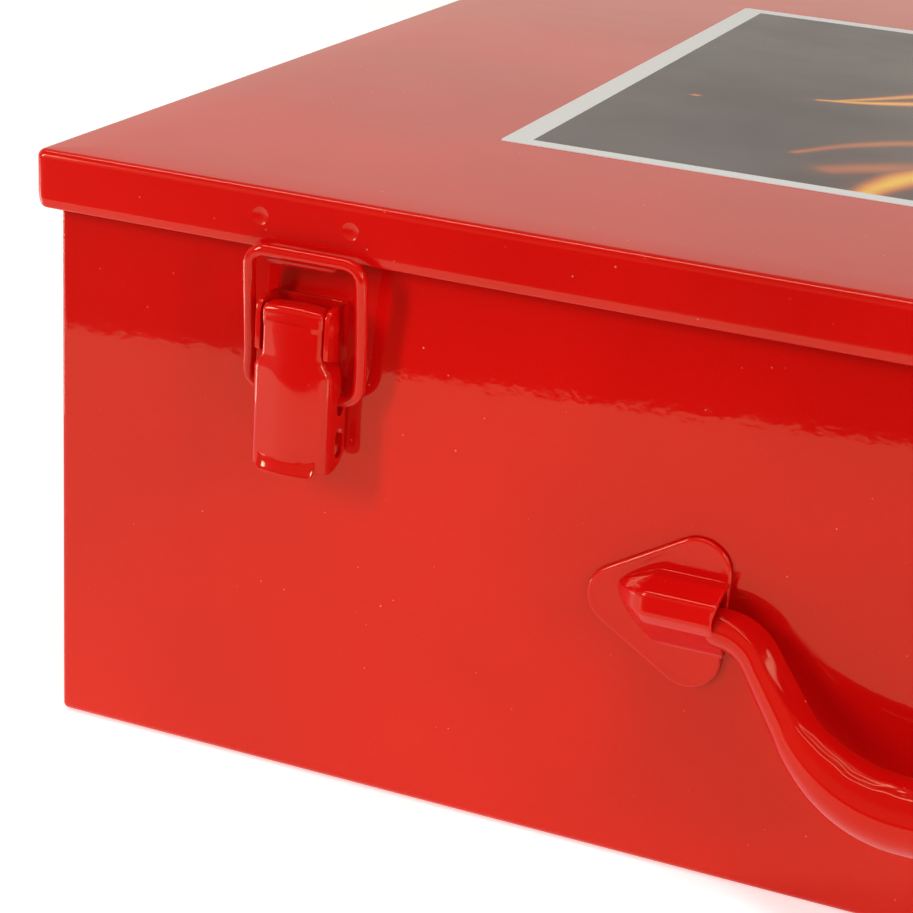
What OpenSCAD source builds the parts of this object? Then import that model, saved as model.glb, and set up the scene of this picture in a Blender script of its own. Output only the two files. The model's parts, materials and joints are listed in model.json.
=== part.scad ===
// Sheet-steel carrying case with an overlapping flanged lid, two draw latches
// and a drop handle on the front, and two knuckle hinges at the back.
// Millimetres, +Z up. Origin: centre of the flat underside. Front is -Y.

/* [Case] */
// outer width of the tray
case_w = 500; // [440:5:560]
// outer depth of the tray
case_d = 400; // [340:5:440]
// overall height from underside to lid top
case_h = 150; // [140:1:180]
// sheet thickness
sheet = 1; // [0.8:0.1:1.2]
// outside radius of the tray's folded edges
fold_r = 2; // [1.6:0.1:3]

/* [Lid] */
// how far the lid stands out past the tray on each side
lid_over = 4.5; // [4.5:0.1:5]
// height of the lid's front flange
flange_h = 14; // [13:0.5:14]
// outside bend radius of the lid
lid_r = 2.5; // [2:0.1:3]

/* [Label] */
// width of the printed label
label_w = 334; // [200:1:360]
// depth of the printed label
label_d = 250; // [150:1:280]

/* [Latches] */
// distance of each latch from the case's centre line
latch_x = 183.1; // [150:0.1:190]
// wire radius of the bail
wire_r = 1.5; // [1.3:0.1:1.5]

/* [Handle] */
// distance of each bracket's mouth from the centre line
mouth_x = 77.5; // [70:0.5:90]
// radius of the grip
grip_r = 8.7; // [8:0.1:9]
// angle of the resting handle from the front wall
rest_deg = 18.9; // [18:0.1:25]

/* [Hinges] */
// distance of each hinge from the centre line
hinge_x = 150; // [100:5:180]
// length of each hinge
hinge_len = 50; // [45:1:60]

/* [Hidden] */
$fn = 48;
hw = case_w/2;
hd = case_d/2;
lid_z = case_h;
fl_z = lid_z - flange_h;           // bottom edge of the lid flange
rim_z = lid_z - sheet - 0.3;       // top of the tray's rim
fy = -hd;                          // front wall face
by = hd;                           // back wall face
// latch heights hang from the lid's flange
lp_y = fy - 7.9;  lp_z = fl_z - 14.5;   // lever pivot
lq_y = fy - 4.1;  lq_z = fl_z - 33.2;   // bail pivot
bb_y = fy - lid_over - 3.05;  bb_z = fl_z + 1;  // bail bar
bail_len = sqrt(pow(bb_y-lq_y,2)+pow(bb_z-lq_z,2));
bail_tilt = atan((lq_y-bb_y)/(bb_z-lq_z));
bail_hw = 14.1;
// handle pivot
hp_y = fy - 5.5;  hp_z = 69.5;
// hinge axis
ha_y = by + 3.2;  ha_z = fl_z - 3.5;
kn_r = 2.85;
pin_r = 1.25;
kn_w = hinge_len/5;

// extrude a (Y,Z) outline along X, centred on x = 0
module along_x(w) { translate([-w/2, 0, 0]) rotate([90, 0, 90]) linear_extrude(w) children(); }
// extrude an (X,Z) outline along -Y from y = 0
module along_y(t) { rotate([90, 0, 0]) linear_extrude(t) children(); }

// box with rounded upright edges and rounded bottom edges
module pan(w, d, h, r) {
  x = w/2 - r; y = d/2 - r;
  translate([-x, -y, 0]) cube([2*x, 2*y, h]);
  translate([-w/2, -y, r]) cube([w, 2*y, h - r]);
  translate([-x, -d/2, r]) cube([2*x, d, h - r]);
  for (i = [-1, 1], j = [-1, 1]) translate([i*x, j*y, r]) { cylinder(r = r, h = h - r); sphere(r = r); }
  for (j = [-1, 1]) translate([-x, j*y, r]) rotate([0, 90, 0]) cylinder(r = r, h = 2*x);
  for (i = [-1, 1]) translate([i*x, y, r]) rotate([90, 0, 0]) cylinder(r = r, h = 2*y);
}

// folded tray with a hemmed rim
module tray() color([0.78, 0.06, 0.04]) difference() {
  union() {
    difference() {
      pan(case_w, case_d, rim_z - 1, fold_r);
      translate([0, 0, sheet]) pan(case_w - 2*sheet, case_d - 2*sheet, case_h, fold_r - sheet);
    }
    // hem folded inwards, twice the sheet
    difference() {
      translate([0, 0, rim_z - 9]) rim_block(case_w, case_d, 8, fold_r);
      translate([0, 0, rim_z - 10]) rim_block(case_w - 4*sheet, case_d - 4*sheet, 10, 0.4);
    }
    for (j = [-1, 1]) translate([-(hw - fold_r), j*(hd - sheet), rim_z - sheet]) rotate([0, 90, 0]) cylinder(r = sheet, h = case_w - 2*fold_r);
    for (i = [-1, 1]) translate([i*(hw - sheet), hd - fold_r, rim_z - sheet]) rotate([90, 0, 0]) cylinder(r = sheet, h = case_d - 2*fold_r);
  }
  hinge_holes_body();
}
module rim_block(w, d, h, r) {
  translate([-w/2 + r, -d/2, 0]) cube([w - 2*r, d, h]);
  translate([-w/2, -d/2 + r, 0]) cube([w, d - 2*r, h]);
  for (i = [-1, 1], j = [-1, 1]) translate([i*(w/2 - r), j*(d/2 - r), 0]) cylinder(r = r, h = h);
}

// flanged lid: side flanges end 1.5 above the front and back flanges
module lid() color([0.8, 0.07, 0.05]) difference() {
  translate([0, 0, lid_z]) mirror([0, 0, 1]) difference() {
    pan(case_w + 2*lid_over, case_d + 2*lid_over, flange_h, lid_r);
    translate([0, 0, sheet]) pan(case_w + 2*lid_over - 2*sheet, case_d + 2*lid_over - 2*sheet, flange_h + 5, lid_r - sheet);
  }
  for (i = [-1, 1]) {
    translate([i*(hw + lid_over) - 5, -(hd + lid_over - sheet), fl_z - 1]) cube([10, case_d + 2*lid_over - 2*sheet, 2.5]);
    // rounded lower corners of the front and back flanges
    for (j = [-1, 1]) translate([i*(hw + lid_over), j*(hd + lid_over) + 2, fl_z]) along_y(4) difference() {
      translate([i < 0 ? -0.1 : -3, -0.1]) square([3.1, 3.1]);
      translate([-i*3, 3]) circle(r = 3);
    }
  }
  // spot weld dimples above each latch
  for (s = [-1, 1], k = [-1, 1]) translate([s*latch_x + k*11.8, -(hd + lid_over) - 6.5, fl_z + 7.3]) sphere(r = 6.8);
  hinge_holes_lid();
}

// printed label lying on the lid
module label() color([0.93, 0.93, 0.92]) translate([0, 0, lid_z]) {
  rim_block(label_w, label_d, 0.2, 0.8);
}

// fixed part of a latch: a U with two cheeks
module latch_base(s) color([0.76, 0.06, 0.05]) translate([s*latch_x, 0, 0]) difference() {
  union() {
    translate([-8.5, fy - 1.2, lp_z - 13.9]) cube([17, 1.2, 18.2]);
    for (i = [-1, 1]) translate([i*7.9, 0, 0]) along_x(1.2) {
      translate([fy, lp_z]) polygon([[0, -13.9], [0, 4.3], [-7.8, 4.3], [-10.8, 1.3], [-10.8, -7.6], [-6.6, -10.4]]);
      translate([fy - 7.8, lp_z + 1.3]) circle(r = 3);
    }
  }
  translate([-15, lp_y, lp_z]) rotate([0, 90, 0]) cylinder(r = 1.5, h = 30);
}

// riveted cross pin with two domed heads
module latch_pin(s) color([0.74, 0.06, 0.05]) translate([s*latch_x, lp_y, lp_z]) {
  translate([-8.6, 0, 0]) rotate([0, 90, 0]) cylinder(r = 1.5, h = 17.2);
  for (i = [0, 1]) mirror([i, 0, 0]) translate([8.5, 0, 0]) rotate([0, 90, 0]) dome(2.3, 0.9);
}
// spherical cap of radius r and height h standing on z = 0
module dome(r, h) {
  R = (r*r + h*h)/(2*h);
  intersection() {
    translate([0, 0, h - R]) sphere(r = R);
    cylinder(r = r + 1, h = h + 1);
  }
}

// channel cross-section: half width a, front face y0, back y1, wall t, corner r
module channel(a, y0, y1, t, r) {
  difference() {
    union() {
      translate([-a, y0 + r]) square([2*a, y1 - y0 - r]);
      translate([-a + r, y0]) square([2*a - 2*r, r + 0.1]);
      for (i = [-1, 1]) translate([i*(a - r), y0 + r]) circle(r = r);
    }
    translate([-a + t, y0 + r]) square([2*a - 2*t, y1 - y0]);
    translate([-a + r, y0 + t]) square([2*a - 2*r, r + 0.1]);
    for (i = [-1, 1]) translate([i*(a - r), y0 + r]) circle(r = r - t);
  }
}

// pressed lever: narrow neck on the pin, wide channel below, finger lip
module latch_lever(s) color([0.78, 0.07, 0.05]) translate([s*latch_x, fy, lp_z]) difference() {
  union() {
    // neck curled over the pin
    difference() {
      along_x(13.4) {
        translate([-7.9, 0]) circle(r = 3.7);
        translate([-11.6, -13]) square([7.4, 13]);
      }
      along_x(11.2) {
        translate([-7.9, 0]) circle(r = 2.6);
        translate([-10.5, -20]) square([12, 20]);
      }
    }
    // wide channel, trimmed by its side outline and by its front outline
    intersection() {
      translate([0, 0, -40]) linear_extrude(33) channel(10, -11.6, -0.9, 1.1, 2.2);
      along_x(30) polygon([[-12, -7], [-4, -7], [-3.2, -12.3], [-0.9, -21.5], [-0.9, -32.5], [-3.5, -34.7], [-7, -35.6], [-12, -35.6]]);
      translate([0, 2, 0]) along_y(20) polygon([[-6.7, 2], [6.7, 2], [6.7, -7.2], [10.1, -12], [10.1, -40], [-10.1, -40], [-10.1, -12], [-6.7, -7.2]]);
    }
    // finger lip
    along_x(14.8) polygon([[-10.5, -32.5], [-11.6, -32.5], [-12.9, -36.3], [-11.9, -36.7], [-10.5, -34.5]]);
  }
  // running hole on the pin
  translate([-15, -7.9, 0]) rotate([0, 90, 0]) cylinder(r = 1.56, h = 30);
  // bail holes with a little slack downwards
  along_x(30) {
    translate([-4.1, lq_z - lp_z]) circle(r = wire_r + 0.08);
    translate([-4.1, lq_z - lp_z - 2.2]) circle(r = wire_r + 0.08);
    translate([-4.1 - wire_r - 0.08, lq_z - lp_z - 2.2]) square([2*wire_r + 0.16, 2.2]);
  }
  // long slots near the foot
  along_x(30) {
    for (k = [0, 1]) translate([-4.1, -31 + 3.2*k]) circle(r = 2);
    translate([-6.1, -31]) square([4, 3.2]);
  }
}

// wire loop
module latch_bail(s) color([0.79, 0.08, 0.06])
translate([s*latch_x, lq_y, lq_z]) rotate([bail_tilt, 0, 0]) {
  r = wire_r; c = 4.2;
  translate([-(bail_hw - c), 0, bail_len]) rotate([0, 90, 0]) cylinder(r = r, h = 2*(bail_hw - c));
  for (i = [0, 1]) mirror([i, 0, 0]) {
    translate([bail_hw, 0, c]) cylinder(r = r, h = bail_len - 2*c);
    translate([bail_hw - c, 0, bail_len - c]) rotate([90, 0, 0]) rotate_extrude(angle = 90) translate([c, 0]) circle(r = r);
    translate([bail_hw - c, 0, c]) rotate([-90, 0, 0]) rotate_extrude(angle = 90) translate([c, 0]) circle(r = r);
    translate([8.6, 0, 0]) rotate([0, 90, 0]) cylinder(r = r, h = bail_hw - c - 8.6);
  }
}

// hook welded inside the lid's front flange
module latch_catch(s) color([0.77, 0.06, 0.05]) translate([s*latch_x, fy - lid_over, fl_z]) {
  difference() {
    along_x(14.4) polygon([[1, 11.5], [2.2, 11.5], [2.2, -1.9], [1.4, -2.7], [-0.6, -2.7], [-1.2, -2.1], [-1.2, -0.5], [-0.2, -0.5], [-0.2, -1.5], [1, -1.5]]);
    for (i = [-1, 1]) translate([i*7.2, 5, -2.7]) along_y(12) rotate(45) square([2.4, 2.4], center = true);
  }
}

// rounded triangle through three points (X,Z)
module rtri(p, r) {
  polygon(p);
  for (k = [0:2]) {
    a = p[k]; b = p[(k + 1) % 3];
    translate(a) circle(r = r);
    translate(a) rotate(atan2(b[1] - a[1], b[0] - a[0])) translate([0, 0.03 - r]) square([norm(b - a), 2*r - 0.06]);
  }
}
// outer shape of the pressed tunnel, g = inset
module tunnel(g) intersection() {
  translate([-mouth_x - 12, fy, 0]) along_x(24 + (g > 0 ? 2 : 0)) translate([0, hp_z]) polygon(
    g > 0 ? [[0.5, 6.6], [-9.2, 5.3], [-10.2, 4.4], [-10.2, 0.8], [-8.1, -3.0], [-2.4, -7.1], [0.5, -7.8]]
          : [[0, 7.9], [-9.6, 6.6], [-11.5, 5.0], [-11.5, 0.5], [-9, -4.0], [-2.2, -9.0], [0, -9.5]]);
  translate([-mouth_x - 25 + g, 0, hp_z - 20]) linear_extrude(40)
    polygon([[-0.69, fy + 1], [7.94, fy - 11.6], [40, fy - 11.6], [40, fy + 1]]);
  translate([0, fy + 1, 0]) along_y(14) {
    translate([-mouth_x - 14, hp_z - 20]) square([40, 40]);
    translate([-mouth_x - 12.5, hp_z - 0.8]) circle(r = 13.5 - g);
  }
}
// pressed handle bracket (left one; the right one is its mirror)
module bracket_shape() difference() {
  union() {
    translate([0, fy, 0]) along_y(1.2) intersection() {
      rtri([[-mouth_x - 24.6, hp_z - 1.5], [-mouth_x - 7.9, hp_z + 9.5], [-mouth_x - 7.9, hp_z - 11.8]], 8);
      translate([-mouth_x - 50, 0]) square([50, case_h]);
    }
    tunnel(0);
  }
  tunnel(1.2);
}
module handle_bracket_left() color([0.77, 0.06, 0.05]) bracket_shape();
module handle_bracket_right() color([0.77, 0.06, 0.05]) mirror([1, 0, 0]) bracket_shape();

// drop handle; built hanging, then swung to its resting angle
// each station of the left half is [x, z, falling angle, radius]
drop = 32.9; fall = 54;
b1 = 12; leg_dx = 9.8;
x1 = -mouth_x + 1;
x2 = x1 + b1*sin(fall);   z2 = -b1*(1 - cos(fall));
x3 = x2 + leg_dx;         z3 = z2 - leg_dx*tan(fall);
b2 = (drop + z3)/(1 - cos(fall));
x4 = x3 + b2*sin(fall);
half_path = concat(
  [for (k = [0:6]) let (a = fall*k/6) [x1 + b1*sin(a), -b1*(1 - cos(a)), a, 4.6 + 0.3*sin(15*k)]],
  [for (k = [0:8]) let (a = fall*(1 - k/8)) [x4 - b2*sin(a), -drop + b2*(1 - cos(a)), a, 5.4 + (grip_r - 5.4)*sin(90*k/8)]]);
sweep = concat(half_path, [for (k = [len(half_path) - 1:-1:0]) let (q = half_path[k]) [-q[0], q[1], -q[2], q[3]]]);
rn = 28;
module swept() polyhedron(
  points = [for (q = sweep, j = [0:rn - 1]) let (t = 360*j/rn)
    [q[0] + q[3]*cos(t)*sin(q[2]), q[3]*sin(t), q[1] + q[3]*cos(t)*cos(q[2])]],
  faces = concat(
    [[for (j = [rn - 1:-1:0]) j]],
    [[for (j = [0:rn - 1]) (len(sweep) - 1)*rn + j]],
    [for (i = [0:len(sweep) - 2], j = [0:rn - 1]) [i*rn + j, i*rn + (j + 1)%rn, (i + 1)*rn + (j + 1)%rn]],
    [for (i = [0:len(sweep) - 2], j = [0:rn - 1]) [i*rn + j, (i + 1)*rn + (j + 1)%rn, (i + 1)*rn + j]]));
module carry_handle() color([0.78, 0.07, 0.05]) translate([0, hp_y, hp_z]) rotate([-rest_deg, 0, 0]) {
  swept();
  for (i = [0, 1]) mirror([i, 0, 0]) translate([-mouth_x - 13.5, 0, 0]) rotate([0, 90, 0]) cylinder(r = 3.5, h = 16);
}

// hinges: three knuckles on the body leaf, two on the lid leaf
module knuckle(k) translate([-hinge_len/2 + k*kn_w + 0.15, 0, 0]) rotate([0, 90, 0]) cylinder(r = kn_r, h = kn_w - 0.3);
module hinge_body_leaf(s) color([0.75, 0.06, 0.05]) translate([s*hinge_x, 0, 0]) difference() {
  union() {
    translate([-hinge_len/2 + 0.15, by, ha_z - 24.5]) cube([hinge_len - 0.3, 1.2, 21.2]);
    for (k = [0, 2, 4]) {
      translate([-hinge_len/2 + k*kn_w + 0.15, by, ha_z - 4]) cube([kn_w - 0.3, 1.2, 4]);
      translate([0, ha_y, ha_z]) knuckle(k);
    }
  }
  translate([-50, ha_y, ha_z]) rotate([0, 90, 0]) cylinder(r = pin_r + 0.02, h = 100);
  for (x = [-17, 0, 17]) translate([x, by + 5, ha_z - 17]) rotate([90, 0, 0]) cylinder(r = 1.6, h = 10);
}
module hinge_lid_leaf(s) color([0.75, 0.06, 0.05]) translate([s*hinge_x, 0, 0]) difference() {
  union() {
    translate([-hinge_len/2 + 0.15, by + lid_over, ha_z + 3.3]) cube([hinge_len - 0.3, 1.3, 12]);
    for (k = [1, 3]) {
      translate([-hinge_len/2 + k*kn_w + 0.15, by + lid_over, ha_z]) cube([kn_w - 0.3, 1.3, 4]);
      translate([0, ha_y, ha_z]) knuckle(k);
      // stop tongue, lies against the body leaf when the lid is fully open
      translate([-hinge_len/2 + k*kn_w + 1.15, ha_y, ha_z]) rotate([105, 0, 0]) translate([0, -1.7, -9]) cube([kn_w - 2.3, 1.4, 8]);
    }
  }
  translate([-50, ha_y, ha_z]) rotate([0, 90, 0]) cylinder(r = pin_r + 0.05, h = 100);
  for (x = [-17, 0, 17]) translate([x, by + 12, ha_z + 10]) rotate([90, 0, 0]) cylinder(r = 1.6, h = 15);
}
module hinge_pin(s) color([0.7, 0.7, 0.72]) translate([s*hinge_x - hinge_len/2 - 0.4, ha_y, ha_z]) rotate([0, 90, 0]) cylinder(r = pin_r, h = hinge_len + 0.8);

module hinge_holes_body() for (s = [-1, 1], x = [-17, 0, 17]) translate([s*hinge_x + x, by + 5, ha_z - 17]) rotate([90, 0, 0]) cylinder(r = 1.6, h = 10);
module hinge_holes_lid() for (s = [-1, 1], x = [-17, 0, 17]) translate([s*hinge_x + x, by + 12, ha_z + 10]) rotate([90, 0, 0]) cylinder(r = 1.6, h = 15);
// one rivet along Y, grip from y0 (inside) to y1 (outside)
module rivet(x, z, y0, y1) translate([x, 0, z]) {
  translate([0, y1, 0]) rotate([90, 0, 0]) cylinder(r = 1.58, h = y1 - y0);
  translate([0, y1, 0]) rotate([-90, 0, 0]) dome(3, 1.1);
  translate([0, y0, 0]) rotate([90, 0, 0]) cylinder(r = 2.4, h = 0.7);
}
module hinge_rivets_body() color([0.72, 0.72, 0.74]) for (s = [-1, 1], x = [-17, 0, 17]) rivet(s*hinge_x + x, ha_z - 17, by - sheet, by + 1.2);
module hinge_rivets_lid() color([0.72, 0.72, 0.74]) for (s = [-1, 1], x = [-17, 0, 17]) rivet(s*hinge_x + x, ha_z + 10, by + lid_over - sheet, by + lid_over + 1.3);

tray();
lid();
label();
latch_base(-1);  // latch_base_left
latch_pin(-1);  // latch_pin_left
latch_lever(-1);  // latch_lever_left
latch_bail(-1);  // latch_bail_left
latch_catch(-1);  // latch_catch_left
latch_base(1);  // latch_base_right
latch_pin(1);  // latch_pin_right
latch_lever(1);  // latch_lever_right
latch_bail(1);  // latch_bail_right
latch_catch(1);  // latch_catch_right
handle_bracket_left();
handle_bracket_right();
carry_handle();
hinge_body_leaf(-1);  // hinge_body_leaf_left
hinge_lid_leaf(-1);  // hinge_lid_leaf_left
hinge_pin(-1);  // hinge_pin_left
hinge_body_leaf(1);  // hinge_body_leaf_right
hinge_lid_leaf(1);  // hinge_lid_leaf_right
hinge_pin(1);  // hinge_pin_right
hinge_rivets_body();
hinge_rivets_lid();
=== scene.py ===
import bpy, bmesh, math, json
import numpy as np
from mathutils import Vector, Matrix


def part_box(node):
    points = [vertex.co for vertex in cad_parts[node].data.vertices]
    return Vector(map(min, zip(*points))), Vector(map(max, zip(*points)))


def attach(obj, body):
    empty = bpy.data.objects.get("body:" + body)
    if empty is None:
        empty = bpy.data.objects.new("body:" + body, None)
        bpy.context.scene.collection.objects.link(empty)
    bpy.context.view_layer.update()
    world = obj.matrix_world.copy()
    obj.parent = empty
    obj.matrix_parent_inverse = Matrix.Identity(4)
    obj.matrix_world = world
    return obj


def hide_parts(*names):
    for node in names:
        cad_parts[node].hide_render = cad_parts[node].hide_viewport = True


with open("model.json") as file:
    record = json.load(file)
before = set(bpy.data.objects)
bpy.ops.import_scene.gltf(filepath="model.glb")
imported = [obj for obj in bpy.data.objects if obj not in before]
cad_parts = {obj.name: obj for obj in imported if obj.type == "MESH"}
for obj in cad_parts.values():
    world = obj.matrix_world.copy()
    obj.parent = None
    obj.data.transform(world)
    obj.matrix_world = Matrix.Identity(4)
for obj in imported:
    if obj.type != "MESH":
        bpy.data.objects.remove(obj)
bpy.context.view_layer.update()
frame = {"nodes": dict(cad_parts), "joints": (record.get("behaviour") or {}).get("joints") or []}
SC = bpy.context.scene

# ------------------------------------------------------------------ positions (mm, read from the CAD nodes)
def lo_hi(n):
    a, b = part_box(n)
    return np.array(a) * 1000.0, np.array(b) * 1000.0
T_LO, T_HI = lo_hi("tray")
L_LO, L_HI = lo_hi("lid")
HD = T_HI[1]; HW = T_HI[0]; FY = T_LO[1]
LW, LD = L_HI[0], L_HI[1]
TOP = L_HI[2]; FLZ = L_LO[2]
RIM = T_HI[2]
J = {j["name"]: [1000.0 * c for c in j["pos_m"]] for j in frame["joints"]}
LPY, LPZ = J["lever_left_pivot"][1], J["lever_left_pivot"][2]
LQY, LQZ = J["bail_left_pivot"][1], J["bail_left_pivot"][2]
HPY, HPZ = J["handle_pivot"][1], J["handle_pivot"][2]
HAY, HAZ = J["lid_hinge"][1], J["lid_hinge"][2]
LX = J["lever_right_pivot"][0]
MX = 77.5                                      # mouth of the bracket from the centre line

# ------------------------------------------------------------------ node helpers
def new_mat(name):
    m = bpy.data.materials.new(name)
    m.use_nodes = True
    nt = m.node_tree
    return m, nt, nt.nodes["Principled BSDF"]

def N(nt, kind, **props):
    n = nt.nodes.new(kind)
    for k, v in props.items():
        setattr(n, k, v)
    return n

def noise(nt, coord, scale, detail=2.0, rough=0.5, dist=0.0):
    n = N(nt, "ShaderNodeTexNoise")
    n.inputs["Scale"].default_value = scale
    n.inputs["Detail"].default_value = detail
    n.inputs["Roughness"].default_value = rough
    n.inputs["Distortion"].default_value = dist
    nt.links.new(coord, n.inputs["Vector"])
    return n.outputs["Fac"]

def ramp(nt, fac, stops):
    n = N(nt, "ShaderNodeValToRGB")
    e = n.color_ramp.elements
    while len(e) < len(stops):
        e.new(0.5)
    for el, (p, c) in zip(e, stops):
        el.position = p
        el.color = c if len(c) == 4 else (*c, 1.0)
    nt.links.new(fac, n.inputs["Fac"])
    return n.outputs["Color"]

def mix(nt, fac, a, b):
    n = N(nt, "ShaderNodeMix", data_type="RGBA")
    for sock, val in ((n.inputs[0], fac), (n.inputs[6], a), (n.inputs[7], b)):
        if isinstance(val, (int, float)):
            sock.default_value = val
        elif isinstance(val, tuple):
            sock.default_value = (*val, 1.0) if len(val) == 3 else val
        else:
            nt.links.new(val, sock)
    return n.outputs[2]

def maprange(nt, v, a, b, c, d):
    n = N(nt, "ShaderNodeMapRange")
    nt.links.new(v, n.inputs["Value"])
    for k, x in zip(("From Min", "From Max", "To Min", "To Max"), (a, b, c, d)):
        n.inputs[k].default_value = x
    return n.outputs["Result"]

def bump(nt, h, strength, distance, normal=None):
    n = N(nt, "ShaderNodeBump")
    n.inputs["Strength"].default_value = strength
    n.inputs["Distance"].default_value = distance
    nt.links.new(h, n.inputs["Height"])
    if normal is not None:
        nt.links.new(normal, n.inputs["Normal"])
    return n.outputs["Normal"]

# ------------------------------------------------------------------ materials
def paint(name, base=(0.60, 0.0022, 0.0018), peel=1.0, warp=1.0, rough=(0.055, 0.10), dust=1.0, seed=0.0, tint=(1.0, 0.82, 0.50)):
    m, nt, bs = new_mat(name)
    tc = N(nt, "ShaderNodeTexCoord")
    mp = N(nt, "ShaderNodeMapping")
    mp.inputs["Location"].default_value = (seed, seed * 0.7, seed * 0.3)
    nt.links.new(tc.outputs["Object"], mp.inputs["Vector"])
    co = mp.outputs["Vector"]
    big = noise(nt, co, 9.0, 3.0)
    fine = noise(nt, co, 900.0, 2.0)
    dark = tuple(c * 0.88 for c in base)
    light = (min(1, base[0] * 1.05), base[1] * 1.25, base[2] * 1.3)
    c1 = mix(nt, maprange(nt, big, 0.35, 0.65, 0.0, 1.0), dark, light)
    c2 = mix(nt, maprange(nt, fine, 0.45, 0.75, 0.0, 0.10), c1, (0.66, 0.006, 0.004))
    # dust specks: tiny round spots, present in a few cells only
    vo = N(nt, "ShaderNodeTexVoronoi")
    vo.inputs["Scale"].default_value = 310.0
    nt.links.new(co, vo.inputs["Vector"])
    sep = N(nt, "ShaderNodeSeparateColor")
    nt.links.new(vo.outputs["Color"], sep.inputs["Color"])
    spot = maprange(nt, vo.outputs["Distance"], 0.034, 0.088, 1.0, 0.0)
    pick = maprange(nt, sep.outputs["Red"], 0.79, 0.82, 0.0, 1.0)
    mul = N(nt, "ShaderNodeMath", operation="MULTIPLY")
    nt.links.new(spot, mul.inputs[0]); nt.links.new(pick, mul.inputs[1])
    patch = maprange(nt, noise(nt, co, 18.0, 2.0), 0.42, 0.60, 0.12, 1.0)
    mul2 = N(nt, "ShaderNodeMath", operation="MULTIPLY")
    nt.links.new(mul.outputs[0], mul2.inputs[0]); nt.links.new(patch, mul2.inputs[1])
    amt = maprange(nt, mul2.outputs[0], 0.0, 1.0, 0.0, 0.75 * dust)
    c3 = mix(nt, amt, c2, (0.86, 0.30, 0.22))
    nt.links.new(c3, bs.inputs["Base Color"])
    # wiped smears change the gloss a little
    sm = noise(nt, co, 22.0, 4.0, 0.6, 0.6)
    nt.links.new(maprange(nt, sm, 0.3, 0.7, rough[0], rough[1]), bs.inputs["Roughness"])
    # sheet waviness, orange peel, fine texture
    n1 = bump(nt, noise(nt, co, 14.0, 1.0), 1.0, 0.00011 * warp)
    n2 = bump(nt, noise(nt, co, 210.0, 2.5, 0.55), 1.0, 0.0000105 * peel, n1)
    n3 = bump(nt, noise(nt, co, 1400.0, 1.0), 1.0, 0.0000007 * peel, n2)
    nt.links.new(n3, bs.inputs["Normal"])
    bs.inputs["IOR"].default_value = 1.45
    bs.inputs["Specular Tint"].default_value = (*tint, 1.0)
    return m

M_PAINT = paint("paint_sheet", base=(0.575, 0.0024, 0.0018), peel=2.6, rough=(0.018, 0.05), tint=(0.97, 0.75, 0.42))
M_LID = paint("paint_lid", peel=0.9, warp=0.8, rough=(0.10, 0.18), seed=3.1)
M_HARD = paint("paint_fittings", peel=0.6, warp=0.6, rough=(0.035, 0.07), dust=0.7, seed=7.7, tint=(1.0, 0.78, 0.47))
M_HAND = paint("paint_handle", base=(0.57, 0.0022, 0.0016), peel=0.9, warp=0.6, rough=(0.03, 0.06), dust=0.8, seed=11.3, tint=(0.97, 0.70, 0.40))

def border_mat():
    m, nt, bs = new_mat("label_border")
    tc = N(nt, "ShaderNodeTexCoord")
    a = noise(nt, tc.outputs["Object"], 18.0, 3.0)
    b = noise(nt, tc.outputs["Object"], 1300.0, 1.0)
    c = mix(nt, a, (0.66, 0.655, 0.645), (0.72, 0.71, 0.70))
    c = mix(nt, maprange(nt, b, 0.4, 0.8, 0.0, 0.18), c, (0.60, 0.57, 0.56))
    nt.links.new(c, bs.inputs["Base Color"])
    nt.links.new(maprange(nt, a, 0.3, 0.7, 0.26, 0.36), bs.inputs["Roughness"])
    nt.links.new(bump(nt, noise(nt, tc.outputs["Object"], 380.0, 2.0), 1.0, 0.000006), bs.inputs["Normal"])
    return m
M_BORDER = border_mat()

def print_mat():
    m, nt, bs = new_mat("label_print")
    tc = N(nt, "ShaderNodeTexCoord")
    at = N(nt, "ShaderNodeVertexColor", layer_name="ink")
    grain = noise(nt, tc.outputs["Object"], 1500.0, 2.0)
    c = mix(nt, maprange(nt, grain, 0.3, 0.8, 0.0, 0.16), at.outputs["Color"], (0.03, 0.03, 0.035))
    nt.links.new(c, bs.inputs["Base Color"])
    s = noise(nt, tc.outputs["Object"], 16.0, 3.0)
    nt.links.new(maprange(nt, s, 0.3, 0.7, 0.24, 0.33), bs.inputs["Roughness"])
    nt.links.new(bump(nt, noise(nt, tc.outputs["Object"], 380.0, 2.0), 1.0, 0.000006), bs.inputs["Normal"])
    return m
M_PRINT = print_mat()

# ------------------------------------------------------------------ mesh helpers (all input in mm)
def make(name, V, F, mat, body, reps=(), smooth=True, angle=35.0):
    me = bpy.data.meshes.new(name)
    me.from_pydata([tuple(float(c) * 0.001 for c in v) for v in V], [], [list(map(int, f)) for f in F])
    me.validate()
    bm = bmesh.new(); bm.from_mesh(me)
    bmesh.ops.remove_doubles(bm, verts=bm.verts, dist=2e-6)
    bmesh.ops.recalc_face_normals(bm, faces=bm.faces)
    bm.to_mesh(me); bm.free()
    ob = bpy.data.objects.new(name, me)
    SC.collection.objects.link(ob)
    me.materials.append(mat)
    if smooth:
        me.shade_smooth()
        me.set_sharp_from_angle(angle=math.radians(angle))
    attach(ob, body)
    if reps:
        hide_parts(*reps)
    return ob

def bake(ob, angle=35.0):
    """Apply an object's modifiers to its mesh."""
    bpy.context.view_layer.update()
    dg = bpy.context.evaluated_depsgraph_get()
    me = bpy.data.meshes.new_from_object(ob.evaluated_get(dg), depsgraph=dg)
    old = ob.data
    ob.modifiers.clear()
    ob.data = me
    bpy.data.meshes.remove(old)
    me.shade_smooth()
    me.set_sharp_from_angle(angle=math.radians(angle))

def bevel(ob, w, seg=2, ang=30.0):
    b = ob.modifiers.new("bevel", "BEVEL")
    b.width = w * 0.001; b.segments = seg; b.limit_method = "ANGLE"; b.angle_limit = math.radians(ang)
    b.miter_outer = "MITER_ARC"; b.harden_normals = False
    return b

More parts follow.
